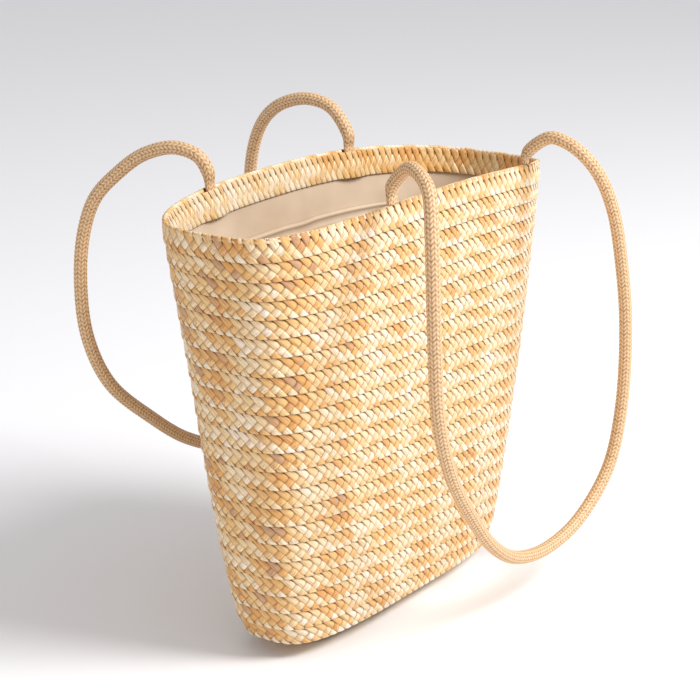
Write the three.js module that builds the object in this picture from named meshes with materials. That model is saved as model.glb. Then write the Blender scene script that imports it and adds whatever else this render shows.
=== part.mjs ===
import * as THREE from 'three';

// Straw basket bag: lapped rows of sewn straw plait round an oval base, a plait facing inside
// the mouth, a cotton lining with a slip pocket, and two braided cord handles.
// Millimetres. X runs along the long side, the front face looks along -Y and Z is up.

// Body outline: half sizes are taken from the middle of the mouth.
const bagHeight = 325;
const mouthLength = 370;
const mouthFrontDepth = 71.2;
const mouthBackDepth = 74;
const baseLength = 266;
const baseDepth = 70;
const baseShift = 15;
const baseForward = 4;
const flareShape = 0.7;
const frontSquareness = 4;
const backSquareness = 2.75;
const baseSquareness = 3.5;
const squareShare = 0.62;
const endCorner = 27;
const faceCorner = 10;

// The soft rim dips towards its two ends.
const rimSagLeft = 5;
const rimSagRight = 12.5;
const rimSagReach = 60;

// Straw plait: each row's lower edge laps over the row below it.
const rimRowHeight = 16.5;
const rowPitch = 14.1;
const plaitThickness = 1.4;
const lapStep = 1.3;
const baseThickness = 3;

// Facing, lining and pocket.
const layerGap = 0.5;
const facingHeight = 20;
const facingDrop = 1;
const facingThickness = 1.4;
const liningThickness = 1;
const liningTuck = 5.5;
const foldDepth = 3;
const foldStart = 0.15;
const foldFull = 0.5;
const pocketLength = 200;
const pocketShift = 35;
const pocketDrop = 46;
const pocketHeight = 130;
const pocketThickness = 1.2;
const pocketGap = 0.7;
const pocketColumns = 12;

// Handles: the sewn-in end of each cord stands in a small bulge between wall and facing.
const cordDiameter = 10;
const cordSides = 8;
const cordSteps = 38;
const wallBulge = 4.4;
const facingBulge = 5.4;
const bulgeFlat = 9;
const bulgeReach = 22;
const bulgeFadeStart = 17;
const bulgeFadeEnd = 46;
const footTop = 10.5;
const lowFootTop = 6.5;
const footEndGap = 1.6;
const footPoints = 4;
const handleFeet = {
  frontLeft: { side: 'front', along: -0.31, top: footTop },
  frontRight: { side: 'front', along: 0.7, top: lowFootTop },
  backLeft: { side: 'back', along: -0.46, top: footTop },
  backRight: { side: 'back', along: 0.465, top: footTop },
};

// The free run of each handle between its feet, from the left foot to the right one: how far
// along as a share of half the mouth's length, how far out from the mouth's side in
// millimetres, and how high as a share of the bag's height.
const frontHandleRun = [
  [-0.319, 2.0, 1.055], [-0.373, 19.0, 1.086], [-0.449, 41.0, 1.058], [-0.514, 52.0, 0.972],
  [-0.535, 56.0, 0.858], [-0.519, 56.0, 0.726], [-0.476, 54.0, 0.591], [-0.362, 51.0, 0.446],
  [-0.178, 48.0, 0.314], [0.011, 45.0, 0.209], [0.205, 43.0, 0.145], [0.454, 43.0, 0.120],
  [0.714, 45.0, 0.151], [0.908, 49.0, 0.246], [0.962, 53.0, 0.382], [0.935, 57.0, 0.594],
  [0.876, 57.0, 0.757], [0.811, 55.0, 0.883], [0.754, 49.0, 0.964], [0.709, 39.0, 1.016],
  [0.698, 25.0, 1.042], [0.697, 11.0, 1.047],
];
const backHandleRun = [
  [-0.476, 0.0, 1.062], [-0.497, 18.0, 1.077], [-0.519, 43.0, 1.055], [-0.546, 63.0, 1.009],
  [-0.573, 80.0, 0.951], [-0.578, 91.0, 0.871], [-0.578, 96.0, 0.760], [-0.551, 96.0, 0.625],
  [-0.454, 92.0, 0.502], [-0.238, 86.0, 0.388], [-0.032, 81.0, 0.305], [0.162, 78.0, 0.265],
  [0.357, 79.0, 0.292], [0.497, 84.0, 0.394], [0.557, 91.0, 0.554], [0.557, 96.0, 0.738],
  [0.524, 95.0, 0.898], [0.492, 80.0, 1.015], [0.465, 58.0, 1.074], [0.465, 31.0, 1.098],
  [0.470, 10.0, 1.083],
];

// Soft folds of the lining: place and width as shares of the way round, depth as a share of foldDepth.
const liningFolds = [
  { at: 0.07, width: 0.045, depth: 0.8 },
  { at: 0.36, width: 0.05, depth: 0.5 },
  { at: 0.52, width: 0.045, depth: 1 },
  { at: 0.9, width: 0.05, depth: 0.7 },
  { at: 0.97, width: 0.04, depth: 0.5 },
];

// Levels of the smooth inner surfaces, as shares of the height.
const innerLevels = [1, 0.975, 0.948, 0.9, 0.82, 0.66, 0.5, 0.34, 0.18, 0.085, 0.045, 0.018, 0.005, 0];
const outlineSteps = 480;
const evenStations = 44;

const mix = (low, high, share) => low + (high - low) * share;
const signedPower = (value, power) => Math.sign(value) * Math.abs(value) ** power;
const smooth = (value) => value * value * (3 - 2 * value);
const ramp = (value, start, end) => smooth(THREE.MathUtils.clamp((value - start) / (end - start), 0, 1));

// How far the foot of the wall turns in at a height, for a rounding of a given radius.
function turnIn(height, radius) {
  if (height >= radius) return 0;
  return radius - Math.sqrt(radius ** 2 - (radius - height) ** 2);
}

// The body's outline at a height: points, plain normals, rim sag and length run, all round.
function outlineAt(height) {
  const share = height / bagHeight;
  const flare = share ** flareShape;
  const halfLength = mix(baseLength, mouthLength, flare) / 2 - turnIn(height, endCorner);
  const frontDepth = mix(baseDepth / 2, mouthFrontDepth, flare) - turnIn(height, faceCorner);
  const backDepth = mix(baseDepth / 2, mouthBackDepth, flare) - turnIn(height, faceCorner);
  const middleX = baseShift * (1 - share);
  const middleY = -baseForward * (1 - share);
  const squareBlend = Math.min(1, share / squareShare);
  const sagBlend = Math.exp(-(((bagHeight - height) / rimSagReach) ** 2));
  const points = [];
  for (let step = 0; step < outlineSteps; step += 1) {
    const angle = Math.PI + (2 * Math.PI * step) / outlineSteps;
    const front = Math.sin(angle) < 0;
    const squareness = mix(baseSquareness, front ? frontSquareness : backSquareness, squareBlend);
    const along = signedPower(Math.cos(angle), 2 / squareness);
    const across = signedPower(Math.sin(angle), 2 / squareness);
    const sag = (along < 0 ? rimSagLeft : rimSagRight) * along ** 2 * sagBlend;
    points.push({
      x: middleX + halfLength * along,
      y: middleY + (front ? frontDepth : backDepth) * across,
      z: height - sag,
    });
  }
  let run = 0;
  points.forEach((point, index) => {
    const before = points.at(index - 1);
    const after = points[(index + 1) % outlineSteps];
    const length = Math.hypot(after.x - before.x, after.y - before.y);
    point.normalX = (after.y - before.y) / length;
    point.normalY = -(after.x - before.x) / length;
    point.run = run;
    run += Math.hypot(after.x - point.x, after.y - point.y);
  });
  return { points, total: run };
}

const rimOutline = outlineAt(bagHeight);

// The share of the way round the rim, from the left end, of a place on its front or back.
function shareAt(side, x) {
  const { points, total } = rimOutline;
  const after = side === 'front'
    ? points.findIndex((point) => point.x > x)
    : points.findIndex((point, index) => index > outlineSteps / 2 && point.x < x);
  const [first, second] = [points[after - 1], points[after]];
  return mix(first.run, second.run, (x - first.x) / (second.x - first.x)) / total;
}

const footShare = ({ side, along }) => shareAt(side, (along * mouthLength) / 2);
const footShares = Object.values(handleFeet).map(footShare);

// Stations round the bag: even ones, and four at each handle foot to shape its bulge.
function makeStations() {
  const footOffsets = [-bulgeReach, -bulgeFlat, bulgeFlat, bulgeReach];
  const places = footShares.flatMap((share) =>
    footOffsets.map((offset) => share + offset / rimOutline.total));
  const keepOff = (bulgeReach + (bulgeReach - bulgeFlat) / 2) / rimOutline.total;
  for (let index = 0; index < evenStations; index += 1) {
    const share = index / evenStations;
    if (footShares.every((foot) => Math.abs(foot - share) >= keepOff)) places.push(share);
  }
  return places.sort((first, second) => first - second);
}

const stations = makeStations();

// The share of the full bulge at a station and a depth below the rim.
function bulgeShare(station, depth) {
  const fade = 1 - ramp(depth, bulgeFadeStart, bulgeFadeEnd);
  const near = footShares.map((foot) => Math.abs(foot - station) * rimOutline.total);
  return fade * (1 - ramp(Math.min(...near), bulgeFlat, bulgeReach));
}

// One ring of points on the body's surface at a height, set in by a distance,
// with an extra inset worked out for each station.
function ringAt(height, inset, extraInset = () => 0, places = stations) {
  const { points, total } = outlineAt(height);
  return places.map((station) => {
    const run = station * total;
    let index = points.findIndex((point) => point.run > run);
    if (index < 0) index = outlineSteps;
    const before = points[index - 1];
    const after = points[index % outlineSteps];
    const afterRun = index === outlineSteps ? total : after.run;
    const share = (run - before.run) / (afterRun - before.run);
    const depth = inset + extraInset(station);
    return [
      mix(before.x, after.x, share) - mix(before.normalX, after.normalX, share) * depth,
      mix(before.y, after.y, share) - mix(before.normalY, after.normalY, share) * depth,
      mix(before.z, after.z, share),
    ];
  });
}

const raiseRing = (ring, lift) => ring.map(([x, y, z]) => [x, y, z + lift]);

// Rings joined by two triangles per step, split along the shorter diagonal, and closed at
// the ends by a fan or by joining the last ring to the first.
function solidFromRings(rings, endsMeet) {
  const count = rings[0].length;
  const points = rings.flat();
  const positions = points.flat();
  const indices = [];
  const apart = (first, second) =>
    Math.hypot(...points[first].map((value, axis) => value - points[second][axis]));
  const bands = endsMeet ? rings.length : rings.length - 1;
  for (let band = 0; band < bands; band += 1) {
    const lower = band * count;
    const upper = ((band + 1) % rings.length) * count;
    for (let step = 0; step < count; step += 1) {
      const next = (step + 1) % count;
      const corners = [lower + step, lower + next, upper + next, upper + step];
      const split = apart(corners[0], corners[2]) <= apart(corners[1], corners[3]) ? 0 : 1;
      const [a, b, c, d] = [0, 1, 2, 3].map((corner) => corners[(corner + split) % 4]);
      indices.push(a, b, c, a, c, d);
    }
  }
  if (!endsMeet) {
    const last = (rings.length - 1) * count;
    const firstMiddle = positions.length / 3;
    const middles = [rings[0], rings.at(-1)].map((ring) =>
      [0, 1, 2].map((axis) => ring.reduce((sum, point) => sum + point[axis], 0) / count));
    positions.push(...middles.flat());
    for (let step = 0; step < count; step += 1) {
      const next = (step + 1) % count;
      indices.push(firstMiddle, next, step, firstMiddle + 1, last + step, last + next);
    }
  }
  const geometry = new THREE.BufferGeometry();
  geometry.setAttribute('position', new THREE.Float32BufferAttribute(positions, 3));
  geometry.setIndex(indices);
  geometry.computeVertexNormals();
  return geometry;
}

// Straw shell: outer stepped rows from the base up, over the rim and down the smooth inside.
const shellInset = lapStep + plaitThickness;
const wallExtra = (height) => (station) => -wallBulge * bulgeShare(station, bagHeight - height);

function rowEdges() {
  const edges = [bagHeight];
  for (let edge = bagHeight - rimRowHeight; edge > faceCorner; edge -= rowPitch) edges.push(edge);
  return edges;
}

function outerRings() {
  const edges = rowEdges();
  const lowest = edges.at(-1);
  const rings = [0, 0.18, 0.5].map((share) => ringAt(share * lowest, lapStep / 2));
  for (let row = edges.length - 1; row > 0; row -= 1) {
    rings.push(ringAt(edges[row], lapStep, wallExtra(edges[row])));
    rings.push(ringAt(edges[row], 0, wallExtra(edges[row])));
  }
  rings.push(ringAt(bagHeight, lapStep, wallExtra(bagHeight)));
  return rings;
}

// The inner surfaces stand on the base's thickness and keep one set of levels,
// so that each layer runs beside the next with an even gap.
function innerRing(share, inset, floor, extraInset, places) {
  return raiseRing(ringAt(share * bagHeight, inset, extraInset, places), floor * (1 - share));
}

function strawShell() {
  const inside = innerLevels.map((share) =>
    innerRing(share, shellInset, baseThickness, wallExtra(share * bagHeight)));
  return solidFromRings([...outerRings(), ...inside], false);
}

// Facing: one plait row sewn inside the rim.
const liningInset = shellInset + layerGap;
const facingInset = liningInset + liningThickness + layerGap;

const facingTop = bagHeight - facingDrop;
const facingBottom = facingTop - facingHeight;

function rimFacing() {
  const extra = (station) => facingBulge * bulgeShare(station, 0);
  const corners = [
    [facingBottom, 0], [facingTop, 0], [facingTop, facingThickness], [facingBottom, facingThickness],
  ];
  return solidFromRings(corners.map(([height, set]) => ringAt(height, facingInset + set, extra)), true);
}

// Lining: a cloth bag that is tucked behind the facing and follows the wall down to the base.
function foldInset(station, height) {
  const lowFade = ramp(height, foldStart * bagHeight, foldFull * bagHeight);
  const fade = lowFade * (1 - ramp(height, facingBottom - facingHeight, facingBottom));
  const lift = liningFolds.map(({ at, width, depth }) =>
    depth * (1 - ramp(Math.abs(station - at), 0, width)));
  return foldDepth * fade * Math.max(...lift);
}

const liningLevels = [
  (facingBottom + liningTuck) / bagHeight,
  facingBottom / bagHeight,
  ...innerLevels.filter((share) => share * bagHeight < facingBottom - liningTuck),
];

function clothRing(share, inset, floor, places) {
  return innerRing(share, inset, floor, (station) => foldInset(station, share * bagHeight), places);
}

function clothLining() {
  const outer = liningLevels.map((share) => clothRing(share, liningInset, baseThickness + layerGap));
  const insideFloor = baseThickness + layerGap + liningThickness;
  const inner = liningLevels.map((share) => clothRing(share, liningInset + liningThickness, insideFloor));
  return solidFromRings([...outer.reverse(), ...inner], false);
}

// Slip pocket: a cloth panel on the lining's back wall, with its hem below the facing.
function slipPocket() {
  const from = shareAt('back', pocketShift + pocketLength / 2);
  const to = shareAt('back', pocketShift - pocketLength / 2);
  const places = Array.from({ length: pocketColumns }, (_, column) =>
    mix(from, to, column / (pocketColumns - 1)));
  const levels = [0, 0.25, 0.5, 0.75, 1].map((share) => bagHeight - pocketDrop - share * pocketHeight);
  const inset = liningInset + liningThickness + pocketGap;
  const floor = baseThickness + layerGap + liningThickness;
  const sheetAt = (depth) => levels.map((height) => clothRing(height / bagHeight, depth, floor, places));
  const outside = sheetAt(inset);
  const inside = sheetAt(inset + pocketThickness);
  const loops = places.map((place, index) => [
    ...outside.map((row) => row[index]),
    ...inside.map((row) => row[index]).reverse(),
  ]);
  return solidFromRings(loops, false);
}

// Handle: a round cord whose sewn ends stand straight in the room between wall and facing,
// clear of the lining's tucked edge.
const footInset = (shellInset - wallBulge + facingInset + facingBulge) / 2;
const footBottom = facingBottom + liningTuck + footEndGap;

function footLine(foot) {
  const places = Array.from({ length: footPoints }, (_, index) =>
    mix(footBottom, bagHeight + foot.top, index / (footPoints - 1)));
  return places.flatMap((height) => ringAt(height, footInset, () => 0, [footShare(foot)]));
}

function cordHandle(leftFoot, run, rightFoot) {
  const facingOut = leftFoot.side === 'front' ? -1 : 1;
  const mouthDepth = leftFoot.side === 'front' ? mouthFrontDepth : mouthBackDepth;
  const freeRun = run.map(([along, out, up]) => [
    (along * mouthLength) / 2, facingOut * (mouthDepth + out), up * bagHeight,
  ]);
  const route = [...footLine(leftFoot), ...freeRun, ...footLine(rightFoot).reverse()];
  const path = new THREE.CatmullRomCurve3(route.map((point) => new THREE.Vector3(...point)));
  const section = new THREE.Shape();
  for (let side = 0; side < cordSides; side += 1) {
    const angle = (2 * Math.PI * side) / cordSides;
    const place = [(cordDiameter / 2) * Math.cos(angle), (cordDiameter / 2) * Math.sin(angle)];
    if (side === 0) section.moveTo(...place);
    else section.lineTo(...place);
  }
  section.closePath();
  return new THREE.ExtrudeGeometry(section, { steps: cordSteps, extrudePath: path, bevelEnabled: false });
}

const frontCord = cordHandle(handleFeet.frontLeft, frontHandleRun, handleFeet.frontRight);
const backCord = cordHandle(handleFeet.backLeft, backHandleRun, handleFeet.backRight);

const straw = new THREE.MeshStandardMaterial({ color: '#dcb878', roughness: 0.5, metalness: 0 });
const facingStraw = new THREE.MeshStandardMaterial({ color: '#e0bd7c', roughness: 0.5, metalness: 0 });
const cotton = new THREE.MeshStandardMaterial({ color: '#d8c4a8', roughness: 0.9, metalness: 0 });
const cord = new THREE.MeshStandardMaterial({ color: '#c9a06a', roughness: 0.7, metalness: 0 });

function namedMesh(name, geometry, material) {
  const mesh = new THREE.Mesh(geometry, material);
  mesh.name = name;
  return mesh;
}

const bag = new THREE.Group();
bag.add(namedMesh('straw_shell', strawShell(), straw));
bag.add(namedMesh('rim_facing', rimFacing(), facingStraw));
bag.add(namedMesh('lining', clothLining(), cotton));
bag.add(namedMesh('lining_pocket', slipPocket(), cotton));
bag.add(namedMesh('front_handle', frontCord, cord));
bag.add(namedMesh('back_handle', backCord, cord));

export default bag;
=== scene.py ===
# %% [markdown]
# # Straw basket bag
# The bag is one long straw plait, sewn round and round with each row lapped over the next.
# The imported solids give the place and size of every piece, and this lesson dresses them:
# plaited rows by Geometry Nodes, a cotton lining, and two braided cord handles.

# %% Load the frame
import math

import bpy
import numpy as np
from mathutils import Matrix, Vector


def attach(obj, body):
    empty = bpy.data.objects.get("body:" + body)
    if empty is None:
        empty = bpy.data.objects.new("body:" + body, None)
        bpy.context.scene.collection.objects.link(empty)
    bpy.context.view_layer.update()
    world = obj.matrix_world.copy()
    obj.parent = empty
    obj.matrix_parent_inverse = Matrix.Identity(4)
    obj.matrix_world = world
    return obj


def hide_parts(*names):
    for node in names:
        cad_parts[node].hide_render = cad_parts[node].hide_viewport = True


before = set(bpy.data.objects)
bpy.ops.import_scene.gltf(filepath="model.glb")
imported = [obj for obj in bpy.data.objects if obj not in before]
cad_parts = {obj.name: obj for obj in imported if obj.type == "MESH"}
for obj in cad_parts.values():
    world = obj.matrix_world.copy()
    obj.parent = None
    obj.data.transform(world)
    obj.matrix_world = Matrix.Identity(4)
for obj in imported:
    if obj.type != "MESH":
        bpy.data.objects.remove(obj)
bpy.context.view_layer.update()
MM = 0.001

# %% [markdown]
# ## Camera
# The photograph was taken from the left front corner, a little above the rim, with a long
# lens that keeps the sides of the bag nearly parallel. The values come from matching the
# rim and the rows.

# %% Place the camera
CAMERA_EYE = (-1.2597, -0.8590, 0.6542)
CAMERA_FORWARD = (0.7892, 0.5424, -0.288)
LENS_MM = 112.6


def add_object(name, data):
    item = bpy.data.objects.new(name, data)
    bpy.context.scene.collection.objects.link(item)
    return item


camera_data = bpy.data.cameras.new("camera")
camera_data.lens = LENS_MM
camera_data.sensor_width = 36
camera = add_object("camera", camera_data)
camera.location = CAMERA_EYE
camera.rotation_euler = Vector(CAMERA_FORWARD).to_track_quat("-Z", "Y").to_euler()
bpy.context.scene.camera = camera
print("camera at", CAMERA_EYE)

# %% [markdown]
# ## The wall's form
# Every row, the facing and the lining follow one flaring form, so it is worked out once:
# a squared oval whose size, squareness and place change with the height. A function is
# better here than a sculpted mesh, because each piece can ask for a ring at any height
# and any depth inside the wall. `ring` gives points at shares of the way round, starting
# at the left end and going along the front. `share_at` finds the share of a place.

# %% Rings round the bag
HEIGHT = 325
MOUTH_LENGTH, MOUTH_FRONT, MOUTH_BACK = 370, 71.2, 74
BASE_LENGTH, BASE_DEPTH = 266, 70
BASE_SHIFT, BASE_FORWARD = 15, 4
FLARE = 0.7
SQUARE_FRONT, SQUARE_BACK, SQUARE_BASE, SQUARE_SHARE = 4, 2.75, 3.5, 0.62
END_CORNER, FACE_CORNER = 27, 10
SAG_LEFT, SAG_RIGHT, SAG_REACH = 5, 12.5, 60
OUTLINE_STEPS = 960


def smooth_ramp(value, start, end):
    share = np.clip((np.asarray(value, float) - start) / (end - start), 0, 1)
    return share * share * (3 - 2 * share)


def turn_in(height, radius):
    if height >= radius:
        return 0.0
    return radius - math.sqrt(radius**2 - (radius - height) ** 2)


def outline(height):
    share = max(height, 0) / HEIGHT
    flare = share**FLARE
    half_length = (BASE_LENGTH + (MOUTH_LENGTH - BASE_LENGTH) * flare) / 2 - turn_in(height, END_CORNER)
    front = BASE_DEPTH / 2 + (MOUTH_FRONT - BASE_DEPTH / 2) * flare - turn_in(height, FACE_CORNER)
    back = BASE_DEPTH / 2 + (MOUTH_BACK - BASE_DEPTH / 2) * flare - turn_in(height, FACE_CORNER)
    angle = math.pi + 2 * math.pi * np.arange(OUTLINE_STEPS) / OUTLINE_STEPS
    is_front = np.sin(angle) < 0
    blend = min(1, share / SQUARE_SHARE)
    squareness = SQUARE_BASE + (np.where(is_front, SQUARE_FRONT, SQUARE_BACK) - SQUARE_BASE) * blend
    along = np.sign(np.cos(angle)) * np.abs(np.cos(angle)) ** (2 / squareness)
    across = np.sign(np.sin(angle)) * np.abs(np.sin(angle)) ** (2 / squareness)
    reach = math.exp(-(((HEIGHT - height) / SAG_REACH) ** 2))
    sag = np.where(along < 0, SAG_LEFT, SAG_RIGHT) * along**2 * reach
    return np.stack([
        BASE_SHIFT * (1 - share) + half_length * along,
        -BASE_FORWARD * (1 - share) + np.where(is_front, front, back) * across,
        height - sag,
    ], axis=1)


def ring(height, inset, shares, extra=None):
    points = outline(height)
    after = np.roll(points, -1, axis=0)
    tangent = after - np.roll(points, 1, axis=0)
    tangent /= np.hypot(tangent[:, 0], tangent[:, 1])[:, None]
    steps = np.hypot(*(after - points)[:, :2].T)
    run = np.concatenate([[0], np.cumsum(steps)])
    closed = np.vstack([points, points[:1]])
    inward = np.stack([-tangent[:, 1], tangent[:, 0]], axis=1)
    inward = np.vstack([inward, inward[:1]])
    at = (np.asarray(shares) % 1) * run[-1]
    place = np.stack([np.interp(at, run, closed[:, axis]) for axis in range(3)], axis=1)
    turn = np.stack([np.interp(at, run, inward[:, axis]) for axis in range(2)], axis=1)
    depth = inset + (0 if extra is None else extra(np.asarray(shares) % 1))
    place[:, :2] += turn * np.reshape(depth, (-1, 1))
    return place


def rim_run():
    points = outline(HEIGHT)
    steps = np.hypot(*(np.roll(points, -1, axis=0) - points)[:, :2].T)
    return points, np.concatenate([[0], np.cumsum(steps)])


def share_at(side, x):
    points, run = rim_run()
    half = OUTLINE_STEPS // 2
    if side == "front":
        return float(np.interp(x, points[:half, 0], run[:half])) / run[-1]
    return float(np.interp(-x, -points[half:, 0], run[half:-1])) / run[-1]


RIM_LENGTH = float(rim_run()[1][-1])
print("rim length mm", round(RIM_LENGTH, 1))

# %% [markdown]
# The sewn ends of the handles push the wall out and the facing in, in four small bulges.
# Both sides read the same share of bulge, so the cord keeps its room between them.

# %% Bulges at the handle feet
FEET = {
    "front_left": ("front", -0.31),
    "front_right": ("front", 0.7),
    "back_left": ("back", -0.46),
    "back_right": ("back", 0.465),
}
FOOT_SHARES = {name: share_at(side, along * MOUTH_LENGTH / 2) for name, (side, along) in FEET.items()}
WALL_BULGE, FACING_BULGE = 1.3, 2.7
BULGE_FLAT, BULGE_REACH = 4, 20
BULGE_FADE_START, BULGE_FADE_END = 12, 40


def foot_distance(shares):
    return np.min([np.abs(shares - foot) for foot in FOOT_SHARES.values()], axis=0) * RIM_LENGTH


def bulge(shares, depth):
    return (1 - smooth_ramp(foot_distance(shares), BULGE_FLAT, BULGE_REACH)) * (
        1 - smooth_ramp(depth, BULGE_FADE_START, BULGE_FADE_END)
    )


print("feet", {name: round(share, 4) for name, share in FOOT_SHARES.items()})

# %% [markdown]
# ## A small class for node maths
# Node trees are easier to read as expressions. The class wraps one socket, and adding or
# multiplying two of them adds a Math node. `make` adds any node: `settings` are its own
# properties, and `inputs` are values or other wires.

# %% Node helpers
class Wire:
    def __init__(self, tree, socket):
        self.tree = tree
        self.socket = socket

    def math(self, operation, *others):
        return make(self.tree, "ShaderNodeMath", {"operation": operation}, dict(enumerate([self, *others])))

    def out(self, name):
        return Wire(self.tree, self.socket.node.outputs[name])

    def __add__(self, other):
        return self.math("ADD", other)

    __radd__ = __add__

    def __sub__(self, other):
        return self.math("SUBTRACT", other)

    def __rsub__(self, other):
        return make(self.tree, "ShaderNodeMath", {"operation": "SUBTRACT"}, {0: other, 1: self})

    def __mul__(self, other):
        return self.math("MULTIPLY", other)

    __rmul__ = __mul__

    def __truediv__(self, other):
        return self.math("DIVIDE", other)

    def fract(self):
        return self.math("FRACT")

    def limit(self):
        return make(self.tree, "ShaderNodeMath", {"operation": "ADD", "use_clamp": True}, {0: self, 1: 0.0})

    def step(self, start, end):
        return make(self.tree, "ShaderNodeMapRange", {"interpolation_type": "SMOOTHSTEP"},
                    {"Value": self, "From Min": start, "From Max": end})


def make(tree, kind, settings=None, inputs=None, output=0):
    node = tree.nodes.new(kind)
    for name, value in (settings or {}).items():
        if name == "stops":
            ramp = node.color_ramp
            while len(ramp.elements) < len(value):
                ramp.elements.new(0.5)
            for element, (place, colour) in zip(ramp.elements, value):
                element.position = place
                element.color = (*colour, 1)
        else:
            setattr(node, name, value)
    for name, value in (inputs or {}).items():
        if isinstance(value, Wire):
            tree.links.new(value.socket, node.inputs[name])
        elif value is not None:
            node.inputs[name].default_value = value
    return Wire(tree, node.outputs[output])


# %% [markdown]
# ## The plait's repeat
# A flat straw plait shows three bands of folded splints: one leaning left at the bottom,
# one leaning right in the middle and one leaning left at the top. One repeat of it is a
# mesh of three crowned patches. Each patch dives under its neighbour at its ends and has
# a small skirt along its sides, so the overlaps are real steps that catch the light.
# Lengths along the row are in repeats here, and all others are in millimetres.

# %% Sizes of the plait
PITCH = 7.8
STRIP_WIDTH = 16.9
SHOWN_WIDTH = 14.1
ROW_BANDS = (4.9, 1.0, 9.2)
EDGE_BANDS = (7.6, 2.7, 12.5)
CROWN, LEAST_CROWN, HIGH, DIVE, SKIRT = 0.5, 0.4, 0.12, -0.55, 0.5
START_DIVE, END_DIVE = (-0.1, 0.24), (0.76, 1.1)
PATCH_ROWS = 6
TILTS = (0.14, 0.0, -0.2)
ROW_BELLY = 0.45
BACKING_DEPTH = -1.0
TENT_FOLD, RIM_FOLD = 0.45, 1.05
TENT_TURNS, RIM_TURNS = (65, 140), (160, 105, 50)


def row_belly(y):
    return ROW_BELLY * math.sin(math.pi * min(max(y / SHOWN_WIDTH, 0), 1)) ** 0.7


print("shown width", SHOWN_WIDTH, "of", STRIP_WIDTH)

# %% [markdown]
# A patch is a grid between its near and its far side. `along` says how far it runs,
# `ends` which of its ends dive, and `notch` where its far side is cut back. The bottom
# band is folded back at its lower end and the top band at its upper end, through `turns`
# in degrees. Each point keeps its flat place and its place in the patch for the material.

# %% One crowned patch
def patch(near, far, along, ends, notch, band, relief=1.0, turns=(), fold=0.0):
    near, far = np.array(near, float), np.array(far, float)
    inside = [(u, None) for u in np.linspace(*along, PATCH_ROWS)]
    folded = [(1 if band == 0 else 0, turn) for turn in turns]
    rows = inside + folded if band == 0 else folded + inside
    sides = [(0, True), (0, False), (1 / 3, False), (2 / 3, False), (1, False), (1, True)]
    places, grains, faces = [], [], []
    for u, turn in rows:
        start_dive = float(smooth_ramp(u, *START_DIVE)) if ends[0] else 1.0
        end_dive = 1 - float(smooth_ramp(u, *END_DIVE)) if ends[1] else 1.0
        raised = start_dive * end_dive
        widest = 1 - float(np.interp(u, *notch))
        for v, skirt in sides:
            left = near[0] + (near[1] - near[0]) * u
            right = far[0] + (far[1] - far[0]) * u
            place = left + (right - left) * v * widest
            crown = 1 - (2 * v - 1) ** 2
            height = DIVE + (HIGH - DIVE) * raised
            height += CROWN * crown * (LEAST_CROWN + (1 - LEAST_CROWN) * raised)
            height += TILTS[band] * (2 * v - 1) * raised - (SKIRT if skirt else 0)
            height *= relief
            if turn is not None:
                angle = math.radians(turn)
                place[1] += (-1 if band == 0 else 1) * fold * math.sin(angle)
                height -= fold * (1 - math.cos(angle))
            places.append((place[0], place[1], height + row_belly(place[1])))
            grains.append((u, 2 * v - 1, band))
    wide = len(sides)
    for row in range(len(rows) - 1):
        for side in range(wide - 1):
            first = row * wide + side
            faces.append((first, first + wide, first + wide + 1, first + 1))
    return places, grains, faces


# %% [markdown]
# A repeat joins the three patches and a flat backing that closes the gaps between them.
# `bands` gives the heights where the bands meet, `top_from` where the top band starts,
# and `upright` makes its splints steeper for an edge that is folded over. The facing is
# pressed flat against the lining, so its relief is lower.

# %% Three repeats
BOTTOM_ALONG, MIDDLE_ALONG, TOP_END = (-0.24, 1), (-0.17, 1.17), 1.14
BOTTOM_NOTCH = ((0, 1), (0.0, 0.05))
MIDDLE_NOTCH = ((0, 0.5, 1), (0.03, 0.0, 0.05))
TUCKED_NOTCH = ((0.36, 0.5, 0.62), (0.24, 0.17, 0.0))
FOLDED_NOTCH = ((0, 0.12, 0.26), (0.11, 0.08, 0.0))
BACKING_LOW = 0.5


def add_vectors(mesh, label, rows):
    attribute = mesh.attributes.new(label, "FLOAT_VECTOR", "POINT")
    attribute.data.foreach_set("vector", np.asarray(rows, np.float32).ravel())


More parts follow.
